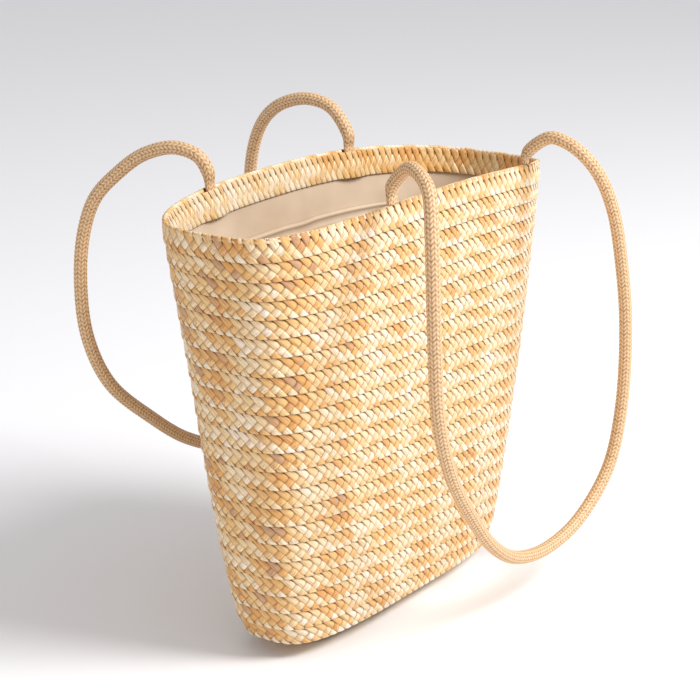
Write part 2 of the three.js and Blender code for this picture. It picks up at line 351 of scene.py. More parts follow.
def plait_repeat(name, bands, top_from, upright=0.0, relief=1.0):
    tent_top, middle_low, middle_high = bands
    slope = (middle_high - tent_top) / 0.5
    left_x = upright - (STRIP_WIDTH - tent_top) / slope
    right_x = 0.5 + upright - (STRIP_WIDTH - middle_high) / slope
    fold_x = middle_low / slope
    bottom = patch([(-0.5, middle_low), (-0.5 + fold_x, 0)], [(0, tent_top), (0.5 + fold_x, 0)],
                   BOTTOM_ALONG, (True, False), BOTTOM_NOTCH, 0, relief, TENT_TURNS, TENT_FOLD)
    middle = patch([(0, tent_top), (0.5, middle_high)], [(0.5, middle_low), (1, tent_top)],
                   MIDDLE_ALONG, (True, True), MIDDLE_NOTCH, 1, relief)
    notch, turns = (TUCKED_NOTCH, ()) if top_from else (FOLDED_NOTCH, RIM_TURNS)
    top = patch([(left_x, STRIP_WIDTH), (0, tent_top)], [(right_x, STRIP_WIDTH), (0.5, middle_high)],
                (top_from, TOP_END), (False, True), notch, 2, relief, turns, RIM_FOLD)
    places, grains, faces = [], [], []
    for part in (bottom, middle, top):
        faces += [tuple(corner + len(places) for corner in face) for face in part[2]]
        places += part[0]
        grains += part[1]
    base = len(places)
    for x in (0, 0.5, 1):
        for y in (BACKING_LOW, STRIP_WIDTH):
            places.append((x, y, BACKING_DEPTH + row_belly(y)))
            # band 3 marks the backing, which the straw material paints in shade colour
            grains.append((0.5, 0, 3))
    faces += [(base, base + 2, base + 3, base + 1), (base + 2, base + 4, base + 5, base + 3)]
    mesh = bpy.data.meshes.new(name)
    mesh.from_pydata([(x * PITCH * MM, y * MM, z * MM) for x, y, z in places], [], faces)
    add_vectors(mesh, "flat", places)
    add_vectors(mesh, "grain", grains)
    facing_out = sum(polygon.normal.z > 0 for polygon in mesh.polygons)
    print(name, "faces", len(faces), "facing out", facing_out)
    return add_object(name, mesh)


edge_repeat = plait_repeat("edge_repeat", EDGE_BANDS, 0, 0.35)
row_repeat = plait_repeat("row_repeat", ROW_BANDS, 0.2)
facing_repeat = plait_repeat("facing_repeat", EDGE_BANDS, 0, 0.35, 0.4)

# %% [markdown]
# ## Guides for the rows
# Each row lies between two closed guide lines, its lower and its upper edge. The lower
# edge stands proud and the upper edge is tucked behind the row above, which gives the
# lapped steps. The guides are a poly curve with two splines for each row.

# %% Guide curves
ROW_PITCH = 14.1
RIM_ROW = 16.5
LAP_STEP = 1.3
WALL_INSET, RIM_TOP_INSET, RIM_TOP_GAP = 0.25, 1.5, 0.2
ROWS_DOWN, LOWEST_ROW = 22, 3
GUIDE_STEPS = 260
guide_shares = np.arange(GUIDE_STEPS) / GUIDE_STEPS


def guide_object(name, pairs):
    data = bpy.data.curves.new(name, "CURVE")
    data.dimensions = "3D"
    for pair in pairs:
        for line in pair:
            spline = data.splines.new("POLY")
            spline.points.add(len(line) - 1)
            flat = np.concatenate([line * MM, np.ones((len(line), 1))], axis=1)
            spline.points.foreach_set("co", flat.astype(np.float32).ravel())
            spline.use_cyclic_u = True
    return add_object(name, data)


def wall_line(height, inset):
    depth = HEIGHT - height
    return ring(height, inset, guide_shares, lambda shares: -WALL_BULGE * bulge(shares, depth))


def wall_pair(lower):
    upper = lower + STRIP_WIDTH
    tuck = LAP_STEP * STRIP_WIDTH / ROW_PITCH
    return wall_line(lower, WALL_INSET), wall_line(upper, WALL_INSET + tuck)


lower_edges = [HEIGHT - RIM_ROW - ROW_PITCH * row for row in range(ROWS_DOWN)]
rim_top = wall_line(HEIGHT - RIM_FOLD - RIM_TOP_GAP, RIM_TOP_INSET)
rim_pair = (wall_line(lower_edges[0], WALL_INSET), rim_top)
wall_pairs = [wall_pair(lower) for lower in lower_edges[1:] if lower > LOWEST_ROW]
print("wall rows", 1 + len(wall_pairs), "lowest edge", round(lower_edges[len(wall_pairs)], 1))

# %% [markdown]
# Underneath, the same plait coils inwards on the flat base. The lowest wall row turns
# round the corner, and two more rings fill the oval down to a line in its middle. They
# lie a little above the floor, so that their crowned cells clear it.

# %% Guides under the base
BASE_LIFT = 1.35
BASE_MIDDLE = np.array([BASE_SHIFT, -BASE_FORWARD])
BASE_FLAT = np.array([BASE_LENGTH / 2 - END_CORNER, BASE_DEPTH / 2 - FACE_CORNER])
TURNED_INSET, TURNED_OVERLAP, TURNED_TUCK = 2.6, 1.5, 1.6
BASE_RINGS = [(13.5, -1.5), (24, 12)]


def base_line(inset, lift):
    line = ring(0, 0, guide_shares)
    scale = (BASE_FLAT - inset) / BASE_FLAT
    line[:, :2] = BASE_MIDDLE + (line[:, :2] - BASE_MIDDLE) * scale
    line[:, 2] = lift
    return line


lowest = lower_edges[len(wall_pairs)]
turned_pair = (base_line(TURNED_INSET, BASE_LIFT), wall_line(lowest + TURNED_OVERLAP, TURNED_TUCK))
base_pairs = [
    (base_line(inner, BASE_LIFT), base_line(outer, BASE_LIFT + LAP_STEP)) for inner, outer in BASE_RINGS
]
print("base rings", len(base_pairs))

# %% [markdown]
# ## Helpers for Geometry Nodes
# A tree takes named inputs and ends in Realize Instances and Set Material. Its inputs are
# set by their identifiers. `plain_mesh` runs a tree once and keeps only its mesh, so that
# the finished piece carries no modifier.

# %% Tree helpers
def new_tree(name, sockets):
    tree = bpy.data.node_groups.new(name, "GeometryNodeTree")
    for label, kind, value in sockets:
        socket = tree.interface.new_socket(name=label, in_out="INPUT", socket_type=kind)
        if value is not None:
            socket.default_value = value
    tree.interface.new_socket(name="Geometry", in_out="OUTPUT", socket_type="NodeSocketGeometry")
    source = tree.nodes.new("NodeGroupInput")
    inputs = {label: Wire(tree, source.outputs[label]) for label, _, _ in sockets}
    return tree, inputs


def finish_tree(tree, wire, material):
    real = make(tree, "GeometryNodeRealizeInstances", None, {"Geometry": wire})
    painted = make(tree, "GeometryNodeSetMaterial", None, {"Geometry": real, "Material": material})
    target = tree.nodes.new("NodeGroupOutput")
    tree.links.new(painted.socket, target.inputs["Geometry"])


def store(tree, geometry, name, value, kind="FLOAT", domain="POINT"):
    return make(tree, "GeometryNodeStoreNamedAttribute", {"data_type": kind, "domain": domain},
                {"Geometry": geometry, "Name": name, "Value": value})


def named(tree, name, kind="FLOAT"):
    return make(tree, "GeometryNodeInputNamedAttribute", {"data_type": kind}, {"Name": name})


def vector_math(tree, operation, *values):
    inputs = dict(enumerate(values))
    if operation == "SCALE":
        inputs = {0: values[0], "Scale": values[1]}
    return make(tree, "ShaderNodeVectorMath", {"operation": operation}, inputs)


def set_input(modifier, label, value):
    modifier[modifier.node_group.interface.items_tree[label].identifier] = value


def plain_mesh(name, tree, values):
    holder = add_object(name, bpy.data.meshes.new(name + "_empty"))
    modifier = holder.modifiers.new("nodes", "NODES")
    modifier.node_group = tree
    for label, value in values.items():
        set_input(modifier, label, value)
    graph = bpy.context.evaluated_depsgraph_get()
    graph.update()
    mesh = bpy.data.meshes.new_from_object(holder.evaluated_get(graph), preserve_all_data_layers=True,
                                           depsgraph=graph)
    holder.modifiers.clear()
    holder.data = mesh
    mesh.name = name
    mesh.calc_loop_triangles()
    print(name, "triangles", len(mesh.loop_triangles))
    return holder


# %% [markdown]
# ## Bending the plait round the bag
# The tree takes points one pitch apart on every lower guide, sets one repeat on each,
# and then moves every vertex: its x becomes a place along the guides, its y a share
# between the lower and the upper guide, and its z a height along the wall's normal. An
# array with a Curve modifier could not follow two edges at once.
# The points carry their row, their place and their number. The seven strands take turns
# along a row, and a splint is one strand over a stretch of the row, so it keeps one tone.
# The whole numbers that rows and strands are multiplied by only keep their ids apart.

# %% Tree for the plaited rows
STRANDS = 7
SPLINT_PITCHES = 31
ROW_SHIFT, LOW_BAND_SHIFT, BAND_SHIFT = 0.45, 3.4, 0.3
TONE_SEED = 5


def repeats_on_rows(tree, given, guides):
    repeat = make(tree, "GeometryNodeObjectInfo", None, {"Object": given["Repeat"]}, "Geometry")
    index = make(tree, "GeometryNodeInputIndex")
    row = (index / 2).math("FLOOR")
    marked = store(tree, guides, "row", row, domain="CURVE")
    upper = (index - 2 * row).math("GREATER_THAN", 0.5)
    lower = make(tree, "GeometryNodeSeparateGeometry", {"domain": "CURVE"},
                 {"Geometry": marked, "Selection": upper}, "Inverted")
    points = make(tree, "GeometryNodeResampleCurve", {"mode": "LENGTH"},
                  {"Curve": lower, "Length": given["Pitch"]})
    place = make(tree, "GeometryNodeSplineParameter")
    count = make(tree, "GeometryNodeSplineLength").out("Point Count")
    points = store(tree, points, "start", place)
    points = store(tree, points, "count", count)
    points = store(tree, points, "order", place.out("Index"))
    placed = make(tree, "GeometryNodeInstanceOnPoints", None, {"Points": points, "Instance": repeat})
    return make(tree, "GeometryNodeRealizeInstances", None, {"Geometry": placed})


def bent_round(tree, given, guides, whole):
    flat = make(tree, "ShaderNodeSeparateXYZ", None, {"Vector": named(tree, "flat", "FLOAT_VECTOR")})
    around = (named(tree, "start") + flat / named(tree, "count") + 1).fract()
    up = flat.out("Y") / given["Strip Width"]
    lines = []
    for offset in (0, 1):
        line = make(tree, "GeometryNodeSampleCurve", {"mode": "FACTOR", "use_all_curves": False},
                    {"Curves": guides, "Factor": around, "Curve Index": named(tree, "row") * 2 + offset},
                    "Position")
        lines.append(line)
    rise = vector_math(tree, "SUBTRACT", lines[1], lines[0])
    between = vector_math(tree, "ADD", lines[0], vector_math(tree, "SCALE", rise, up))
    normal = vector_math(tree, "NORMALIZE", vector_math(tree, "CROSS_PRODUCT", lines[0].out("Tangent"), rise))
    bent = vector_math(tree, "ADD", between, vector_math(tree, "SCALE", normal, flat.out("Z") * MM))
    return make(tree, "GeometryNodeSetPosition", None, {"Geometry": whole, "Position": bent})


def strand_marks(tree, given):
    number = named(tree, "row") + given["First Row"]
    grain = make(tree, "ShaderNodeSeparateXYZ", None, {"Vector": named(tree, "grain", "FLOAT_VECTOR")})
    band = grain.out("Z")
    order = named(tree, "order")
    key = number * 1000 + order * 4 + band
    chance = make(tree, "FunctionNodeRandomValue", {"data_type": "FLOAT"},
                  {"ID": key.math("ROUND"), "Seed": given["Seed"]}, 1)
    place = order + number * ROW_SHIFT + (1 - band.limit()) * LOW_BAND_SHIFT + band * BAND_SHIFT
    strand = place.math("FLOORED_MODULO", STRANDS)
    whole_strand = strand.math("FLOOR")
    stretch = ((number * 131 + order + whole_strand * 9) / SPLINT_PITCHES).math("FLOOR")
    splint = (whole_strand * 977 + stretch * 13).math("ROUND")
    splint_tone = make(tree, "FunctionNodeRandomValue", {"data_type": "FLOAT"},
                       {"ID": splint, "Seed": given["Seed"] + TONE_SEED}, 1)
    return make(tree, "ShaderNodeCombineXYZ", None, {"X": strand, "Y": splint_tone, "Z": chance})


def plait_tree():
    tree, given = new_tree("plaited_rows", [
        ("Guides", "NodeSocketObject", None),
        ("Repeat", "NodeSocketObject", None),
        ("Pitch", "NodeSocketFloat", PITCH * MM),
        ("Strip Width", "NodeSocketFloat", STRIP_WIDTH),
        ("First Row", "NodeSocketFloat", 0.0),
        ("Seed", "NodeSocketInt", 3),
        ("Material", "NodeSocketMaterial", None),
    ])
    guides = make(tree, "GeometryNodeObjectInfo", None, {"Object": given["Guides"]}, "Geometry")
    whole = repeats_on_rows(tree, given, guides)
    moved = bent_round(tree, given, guides, whole)
    told = store(tree, moved, "cell", strand_marks(tree, given), "FLOAT_VECTOR")
    soft = make(tree, "GeometryNodeSetShadeSmooth", None, {"Geometry": told})
    finish_tree(tree, soft, given["Material"])
    return tree


PLAIT_TREE = plait_tree()
print("nodes in the tree", len(PLAIT_TREE.nodes))

# %% [markdown]
# ## Straw
# Each splint keeps one tone over its whole length, so the tone belongs to the cell: a
# repeating order of seven strands, mixed with a random share. Fine grain runs along the
# splint. The folds and gaps get a painted shade of darker, warmer brown.

# %% Straw colours
def new_material(name):
    material = bpy.data.materials.new(name)
    material.use_nodes = True
    tree = material.node_tree
    tree.nodes.clear()
    return material, tree


def finish_material(tree, inputs):
    shader = make(tree, "ShaderNodeBsdfPrincipled", None, inputs)
    target = tree.nodes.new("ShaderNodeOutputMaterial")
    tree.links.new(shader.socket, target.inputs["Surface"])


def mix_colour(tree, blend, factor, first, second):
    return make(tree, "ShaderNodeMix", {"data_type": "RGBA", "blend_type": blend},
                {0: factor, 6: first, 7: second}, 2)


WHITE = (0.90, 0.84, 0.73)
CREAM = (0.88, 0.76, 0.54)
PALE_GOLD = (0.84, 0.64, 0.35)
GOLD = (0.79, 0.51, 0.20)
ORANGE = (0.73, 0.39, 0.12)
TAN = (0.50, 0.34, 0.24)
CREVICE_SHADE = (0.19, 0.08, 0.022, 1)
GAP_SHADE = (0.50, 0.28, 0.12, 1)
CELL_SHADE_TINT = (0.86, 0.62, 0.36, 1)
STRAND_STOPS = [
    (0.0, WHITE), (0.25, CREAM), (0.45, PALE_GOLD), (0.68, GOLD), (0.86, ORANGE), (0.97, TAN),
]
FIBRE_STOPS = [(0.34, (0.5, 0.33, 0.18)), (0.5, (1, 1, 1))]
print("straw tones", len(STRAND_STOPS))

# %% [markdown]
# The tone is a place on the ramp of colours. It starts from the strand: those in the
# middle of the seven are darker. Then each splint, each cell and each patch of the wall
# moves it a little. Painted shade makes the left end of the bag warmer and darker, and
# the facing's right end darker orange, partly its own tone and partly painted shade.
# `shown` is the height at which a row goes behind the row above, where the painted
# shadow of the seam lies.

# %% Straw material
SPLINT_SHARE, CHANCE_SHARE, PATCHY_SHARE, TOP_SHARE = 0.28, 0.22, 0.5, 0.1
MIDDLE_STRAND, STRAND_EDGES = 3.5, (0.7, 2.4)
RIGHT_END, LEFT_END = (0.02, 0.15), (-0.18, -0.03)
PATCHY_SCALE, UNEVEN_SCALE = 22.0, 130.0
SIDE_SHADE, END_SHADE, NOTCH_SHADE_EDGE = (0.82, 1.02), (0.42, 0.56), (0.7, 0.95)
DARKEST_SHADE = 0.95


# edge sets the strength of the painted shade lines between cells
def straw_material(name, warmth, shown, streak=0.9, edge=0.85, spread=0.46,
                   left_end_shade=0.14, right_end_shade_and_tone=0.0, most=0.93):
    material, tree = new_material(name)

    def attribute(label):
        vector = make(tree, "ShaderNodeAttribute", {"attribute_name": label}, None, "Vector")
        return make(tree, "ShaderNodeSeparateXYZ", None, {"Vector": vector})

    cell, grain, flat = attribute("cell"), attribute("grain"), attribute("flat")
    strand, splint, chance = cell, cell.out("Y"), cell.out("Z")
    along, across, band = grain, grain.out("Y"), grain.out("Z")
    height = flat.out("Y")

    where = make(tree, "ShaderNodeTexCoord", None, None, "Object")
    where_x = make(tree, "ShaderNodeSeparateXYZ", None, {"Vector": where})
    patchy = make(tree, "ShaderNodeTexNoise", None, {"Vector": where, "Scale": PATCHY_SCALE, "Detail": 1.0})
    group = (strand - MIDDLE_STRAND).math("ABSOLUTE").step(*STRAND_EDGES)
    is_top = band.math("GREATER_THAN", 1.5)
    tone = (1 - group) * spread + splint * SPLINT_SHARE
    tone = tone + (chance - 0.5) * CHANCE_SHARE + (patchy - 0.5) * PATCHY_SHARE
    tone = tone + is_top * TOP_SHARE + warmth
    # painted shade: the left end is pushed warmer and darker; the facing's right end darker orange, partly
    # its own tone and partly painted shade
    tone = tone + where_x.step(*RIGHT_END) * right_end_shade_and_tone + (1 - where_x.step(*LEFT_END)) * left_end_shade
    tone = tone.limit().math("MINIMUM", most)
    colour = make(tree, "ShaderNodeValToRGB", {"stops": STRAND_STOPS}, {"Fac": tone})

    lines = make(tree, "ShaderNodeCombineXYZ", None,
                 {"X": along, "Y": across * 5.0, "Z": chance * 90 + splint * 30})
    fibre = make(tree, "ShaderNodeTexNoise", {"noise_dimensions": "3D"},
                 {"Vector": lines, "Scale": 1.0, "Detail": 4.0, "Roughness": 0.7})
    streaks = make(tree, "ShaderNodeValToRGB", {"stops": FIBRE_STOPS}, {"Fac": fibre})
    fibred = mix_colour(tree, "MULTIPLY", streak, colour, streaks)
    # painted shade: each cell is darker towards its start and its near side, the side turned from the light
    cell_shade_share = ((1 - along) * 0.3 - across * 0.22 + 0.1).limit()
    cell_shaded = mix_colour(tree, "MULTIPLY", cell_shade_share, fibred, CELL_SHADE_TINT)

    uneven = make(tree, "ShaderNodeTexNoise", None, {"Vector": where, "Scale": UNEVEN_SCALE, "Detail": 2.0})
    # painted shade: dark lines along the cells' sides, and a painted contact shadow where a cell dives under
    # its neighbour
    side_shade = across.math("ABSOLUTE").step(*SIDE_SHADE) * (0.25 + uneven)
    end_shade = (along - 0.5).math("ABSOLUTE").step(*END_SHADE) * 0.5
    gap_shaded = mix_colour(tree, "MULTIPLY", (side_shade.math("MAXIMUM", end_shade) * edge).limit(), cell_shaded, GAP_SHADE)
    # painted shade: dark notches between cells near the seam and at the tents' lower ends
    notch = across.math("ABSOLUTE").step(*NOTCH_SHADE_EDGE) * (uneven * 2.4 - 0.5).limit()
    seam_notch_zone = height.step(shown - 3.4, shown - 1.8).math("MAXIMUM", (1 - height.step(0.2, 2.2)) * 0.6)
    # painted shadow under the lapped edge of the row above; the backing is also painted in shade colour
    seam_shadow = height.step(shown - 0.25 - uneven * 0.9, shown - 0.05)
    dark = seam_shadow.math("MAXIMUM", band.math("GREATER_THAN", 2.5)).math("MAXIMUM", notch * seam_notch_zone)
    painted = mix_colour(tree, "MIX", (dark * DARKEST_SHADE).limit(), gap_shaded, CREVICE_SHADE)

    bump = make(tree, "ShaderNodeBump", None, {"Strength": 0.3, "Distance": 0.0002, "Height": fibre})
    finish_material(tree, {
        "Base Color": painted,
        "Roughness": 0.25 + fibre * 0.2,
        "Specular IOR Level": 0.6,
        "Normal": bump,
    })
    return material


STRAW = straw_material("straw", 0.0, SHOWN_WIDTH - TENT_FOLD)
RIM_STRAW = straw_material("rim_straw", 0.0, STRIP_WIDTH + 1.6)
NO_SEAM = STRIP_WIDTH * 2
# the facing's right end is darker orange, partly its own tone and partly painted shade
FACING_STRAW = straw_material("facing_straw", 0.04, NO_SEAM, streak=1.0, edge=0.15, spread=0.22,
                              left_end_shade=0.0, right_end_shade_and_tone=0.3, most=0.84)
BINDING_STRAW = straw_material("binding_straw", 0.02, NO_SEAM, streak=0.7, edge=1.0)
print("straw looks", STRAW.name, RIM_STRAW.name, FACING_STRAW.name, BINDING_STRAW.name)

# %% [markdown]
# ## The sewn rows
# The turned top row is one piece. The rows below it and the base's rings make three more
# pieces of eight rows each, all from the same tree.

# %% Build the rows
PIECE_ROWS = 8
STRAW_SEED, FACING_SEED, FACING_ROW = 3, 8, 40


def plait_piece(name, pairs, repeat, first_row, material, seed, pitch=PITCH):
    guides = guide_object(name + "_guides", pairs)
    piece = plain_mesh(name, PLAIT_TREE, {
        "Guides": guides,
        "Repeat": repeat,
        "Pitch": pitch * MM,
        "Strip Width": STRIP_WIDTH,
        "First Row": float(first_row),
        "Seed": seed,
        "Material": material,
    })
    bpy.data.objects.remove(guides)
    return piece


straw_pieces = [plait_piece("rim_row", [rim_pair], edge_repeat, 0, RIM_STRAW, STRAW_SEED)]
all_pairs = wall_pairs + [turned_pair] + base_pairs
for start in range(0, len(all_pairs), PIECE_ROWS):
    label = "straw_rows_" + str(start // PIECE_ROWS + 1)
    some = all_pairs[start:start + PIECE_ROWS]
    straw_pieces.append(plait_piece(label, some, row_repeat, start + 1, STRAW, STRAW_SEED))
for piece in straw_pieces:
    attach(piece, "root")
    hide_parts("straw_shell")

# %% [markdown]
# ## Facing
# One row of a slightly finer plait is sewn inside the rim. Its guides run the other way
# round, so that its face looks into the bag.

# %% Build the facing
FACING_TOP, FACING_HEIGHT = HEIGHT - 2.6, 18.6
FACING_TOP_INSET, FACING_LOW_INSET = 4.3, 5.9
FACING_PITCH = 6.4


def facing_line(height, inset):
    line = ring(height, inset, guide_shares, lambda shares: FACING_BULGE * bulge(shares, 0))
    return line[::-1]


facing_pair = (
    facing_line(FACING_TOP - FACING_HEIGHT, FACING_LOW_INSET),
    facing_line(FACING_TOP, FACING_TOP_INSET),
)
rim_facing = plait_piece("rim_facing_row", [facing_pair], facing_repeat, FACING_ROW, FACING_STRAW,
                         FACING_SEED, FACING_PITCH)
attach(rim_facing, "root")
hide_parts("rim_facing")

# %% [markdown]
# ## Folded edge of the rim
# On the real bag the top splints are folded over and down to the facing. The fold is a
# lofted ring with one small lobe for each splint, which is simpler than folding the plait
# itself and leaves no gap between the wall and the facing. It dips where a cord comes out.

# %% Loft the folded edge
EDGE_SECTION = np.array([
    (1.3, -3.2), (1.25, -1.5), (1.7, -0.6), (2.6, -0.1), (3.6, -0.2), (4.25, -0.9), (4.4, -2.0), (4.2, -4.4),
])
EDGE_MIDDLE = np.array([2.7, -1.8])
LOBE_LENGTH, LOBE_STEPS, LOBE_LEAN, LOBE_DIP = 3.9, 7, 0.5, 0.28
EDGE_DIP, EDGE_CLEAR, EDGE_BACK, EDGE_BULGE = 5.0, 5.2, 8.0, 0.5
ROW_MIDDLE = 8.0


def mesh_object(name, points, faces, material, smooth=True):
    mesh = bpy.data.meshes.new(name)
    mesh.from_pydata([tuple(point) for point in np.asarray(points) * MM], [], faces)
    mesh.materials.append(material)
    mesh.polygons.foreach_set("use_smooth", [smooth] * len(mesh.polygons))
    mesh.update()
    return add_object(name, mesh)


def grid_faces(rows, columns, closed=True):
    faces = []
    for row in range(rows - 1):
        for column in range(columns if closed else columns - 1):
            here, after = row * columns + column, row * columns + (column + 1) % columns
            faces.append((here, after, after + columns, here + columns))
    return faces


def folded_edge():
    lobes = round(RIM_LENGTH / LOBE_LENGTH)
    steps = lobes * LOBE_STEPS
    shares = np.arange(steps) / steps
    dip = EDGE_DIP * (1 - smooth_ramp(foot_distance(shares), EDGE_CLEAR, EDGE_BACK))
    draw = np.random.default_rng(11)
    tones = draw.random((lobes, 3))
    columns, cells, grains, flats = [], [], [], []
    for number, (inset, rise) in enumerate(EDGE_SECTION):
        phase = np.arange(steps) / LOBE_STEPS + LOBE_LEAN * number / (len(EDGE_SECTION) - 1)
        lobe = 1 - np.abs(2 * (phase % 1) - 1) ** 3
        scale = 1 - LOBE_DIP * (1 - lobe)
        depth = EDGE_MIDDLE[0] + (inset - EDGE_MIDDLE[0]) * scale
        lift = EDGE_MIDDLE[1] + (rise - EDGE_MIDDLE[1]) * scale - dip
        line = ring(HEIGHT, 0, shares, lambda at: depth - WALL_BULGE * bulge(at, 0) * EDGE_BULGE)
        line[:, 2] += lift
        which = np.floor(phase).astype(int) % lobes
        columns.append(line)
        cells.append(np.stack([which % STRANDS, tones[which, 1], tones[which, 2]], axis=1))
        # across runs from -1 to 1 over a lobe, so the straw material paints shade lines where the lobes meet
        grains.append(np.stack([np.full(steps, 0.5), 2 * (phase % 1) - 1, np.ones(steps)], axis=1))
        flats.append(np.stack([shares, np.full(steps, ROW_MIDDLE), np.zeros(steps)], axis=1))
    faces = grid_faces(len(EDGE_SECTION), steps)
    item = mesh_object("rim_folded_edge", np.vstack(columns), faces, BINDING_STRAW)
    for label, rows in (("cell", cells), ("grain", grains), ("flat", flats)):
        add_vectors(item.data, label, np.vstack(rows))
    print("folded edge lobes", lobes, "faces", len(faces))
    return item


edge = folded_edge()
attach(edge, "root")
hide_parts("straw_shell")

# %% [markdown]
# ## Cotton lining
# The lining is a sewn cotton bag that hangs inside the wall from the facing. It could be
# simulated, but it is held all round, so its few soft folds are placed by short tables
# and the cloth is lofted from rings, which keeps it clear of the straw. A fold has a
# place and a width as shares of the way round and a depth, and a crease also slants.

# %% Form of the cloth
LINING_INSET, CLOTH_THICK = 3.2, 1
FOLDS = [
    (0.07, 0.045, 2.4), (0.36, 0.05, 1.5), (0.52, 0.045, 3.0), (0.9, 0.05, 2.1), (0.97, 0.04, 1.5),
]
CREASES = [
    (0.575, 0.018, 2.2, 1.0), (0.62, 0.024, 2.6, -1.2), (0.72, 0.026, 2.0, 1.4),
    (0.835, 0.03, 2.4, 1.1), (0.88, 0.018, 2.0, -0.7), (0.94, 0.022, 2.6, 0.9),
]
CREASE_SLANT = 0.12
FOLD_START, FOLD_FULL = 0.15, 0.5
FACING_DOWN, FACING_SOLID, LINING_TUCK = 1, 20, 5.5
LINING_TOP = HEIGHT - FACING_DOWN - FACING_SOLID + LINING_TUCK
FOLD_FADE = (LINING_TOP - FACING_SOLID - LINING_TUCK, LINING_TOP - LINING_TUCK)
LINING_FLOOR = 3.6
CLOTH_STEPS = 220


def fold_inset(shares, height):
    fade = smooth_ramp(height / HEIGHT, FOLD_START, FOLD_FULL)
    fade = fade * (1 - smooth_ramp(height, *FOLD_FADE))
    lift = np.max([
        depth * (1 - smooth_ramp(np.abs(shares - at), 0, width)) for at, width, depth in FOLDS
    ], axis=0)
    drop = (LINING_TOP - height) / HEIGHT
    crease = np.max([
        depth * (1 - smooth_ramp(np.abs(shares - at - slant * CREASE_SLANT * drop), 0, width))
        for at, width, depth, slant in CREASES
    ], axis=0)
    return fade * (lift + crease)


def cloth_ring(share, inset, shares):
    height = share * HEIGHT
    line = ring(height, inset, shares, lambda at: fold_inset(at, height))
    line[:, 2] += (LINING_FLOOR + CLOTH_THICK) * (1 - share)
    return line


print("lining top at", LINING_TOP)

# %% [markdown]
# The cotton is a matt cream with faint clouds of a darker tone and a fine weave.

# %% Cotton and the lining's mesh
LOW_LEVELS = [0.085, 0.065, 0.045, 0.03, 0.018, 0.01, 0.005, 0.002, 0.0]
COTTON_STOPS = [(0.3, (0.54, 0.41, 0.29)), (0.7, (0.64, 0.51, 0.38))]


def cotton_material(name):
    material, tree = new_material(name)
    where = make(tree, "ShaderNodeTexCoord", None, None, "Object")
    cloudy = make(tree, "ShaderNodeTexNoise", None, {"Vector": where, "Scale": 22.0, "Detail": 3.0})
    colour = make(tree, "ShaderNodeValToRGB", {"stops": COTTON_STOPS}, {"Fac": cloudy})
    weave = make(tree, "ShaderNodeTexNoise", None, {"Vector": where, "Scale": 1600.0, "Detail": 1.0})
    bump = make(tree, "ShaderNodeBump", None, {"Strength": 0.2, "Distance": 0.0002, "Height": weave})
    finish_material(tree, {
        "Base Color": colour, "Roughness": 0.9, "Specular IOR Level": 0.2, "Normal": bump,
    })
    return material


COTTON = cotton_material("cotton")
cloth_shares = np.arange(CLOTH_STEPS) / CLOTH_STEPS
levels = np.concatenate([np.linspace(LINING_TOP / HEIGHT, 0.1, 46), LOW_LEVELS])
rings = [cloth_ring(share, LINING_INSET + CLOTH_THICK, cloth_shares) for share in levels]
lowest_ring = rings[-1]
middle = lowest_ring.mean(axis=0)
for shrink in (0.8, 0.6, 0.4, 0.2):
    rings.append(middle + (lowest_ring - middle) * shrink)
points = np.vstack(rings + [middle[None]])
faces = [(b, c, d, a) for a, b, c, d in grid_faces(len(rings), CLOTH_STEPS)]
last = (len(rings) - 1) * CLOTH_STEPS
faces += [(last + (step + 1) % CLOTH_STEPS, len(points) - 1, last + step) for step in range(CLOTH_STEPS)]
lining = mesh_object("cotton_lining", points, faces, COTTON)
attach(lining, "root")
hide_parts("lining")
print("lining faces", len(faces))

# %% [markdown]
# ## Slip pocket
# A flat panel is sewn on the lining's back wall. Only its folded hem shows in the
# photograph, so the hem gets its own roll and stitched line: `HEM` says how far the cloth
# lifts off at each distance below the edge. The sides and the bottom are sewn down.

# %% Pocket mesh
POCKET_LENGTH, POCKET_SHIFT, POCKET_DROP, POCKET_HEIGHT = 200, 35, 46, 130
POCKET_INSET = LINING_INSET + CLOTH_THICK + 0.7
SEAM_INSET = LINING_INSET + CLOTH_THICK + 0.05
POCKET_LIFT, POCKET_STEPS, BELOW_HEM = 0.9, 60, 14
pocket_from = share_at("back", POCKET_SHIFT + POCKET_LENGTH / 2)
pocket_to = share_at("back", POCKET_SHIFT - POCKET_LENGTH / 2)
pocket_shares = np.linspace(pocket_from, pocket_to, POCKET_STEPS)
HEM = [
    (0, 0.1), (0.2, 1.8), (1.0, 2.7), (2.2, 2.6), (3.2, 1.5), (7.4, 1.5), (8.4, 2.3), (9.6, 1.5), (11, 0.95),
]
pocket_levels = [(POCKET_DROP + down, lift) for down, lift in HEM]
pocket_levels += [(POCKET_DROP + down, POCKET_LIFT) for down in np.linspace(BELOW_HEM, POCKET_HEIGHT, 18)]
pocket_levels.append((POCKET_DROP + POCKET_HEIGHT + 1, SEAM_INSET - POCKET_INSET))
free = np.ones(POCKET_STEPS)
free[[0, -1]] = 0
pocket_rows = []
for down, lift in pocket_levels:
    inset = SEAM_INSET + (POCKET_INSET + lift - SEAM_INSET) * free
    pocket_rows.append(cloth_ring((HEIGHT - down) / HEIGHT, inset, pocket_shares))
pocket_faces = grid_faces(len(pocket_rows), POCKET_STEPS, False)
pocket = mesh_object("slip_pocket", np.vstack(pocket_rows), pocket_faces, COTTON)
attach(pocket, "root")
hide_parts("lining_pocket")
print("pocket faces", len(pocket_faces))

# %% [markdown]
# ## Cord handles
# Each handle is a round braided cord that stands between the wall and the facing with
# both ends, rises over the rim and hangs down. Its route repeats the solid's own points:
# how far along as a share of half the mouth, how far out, and how high as a share of the
# bag's height. The front handle's right arch is the lowest.

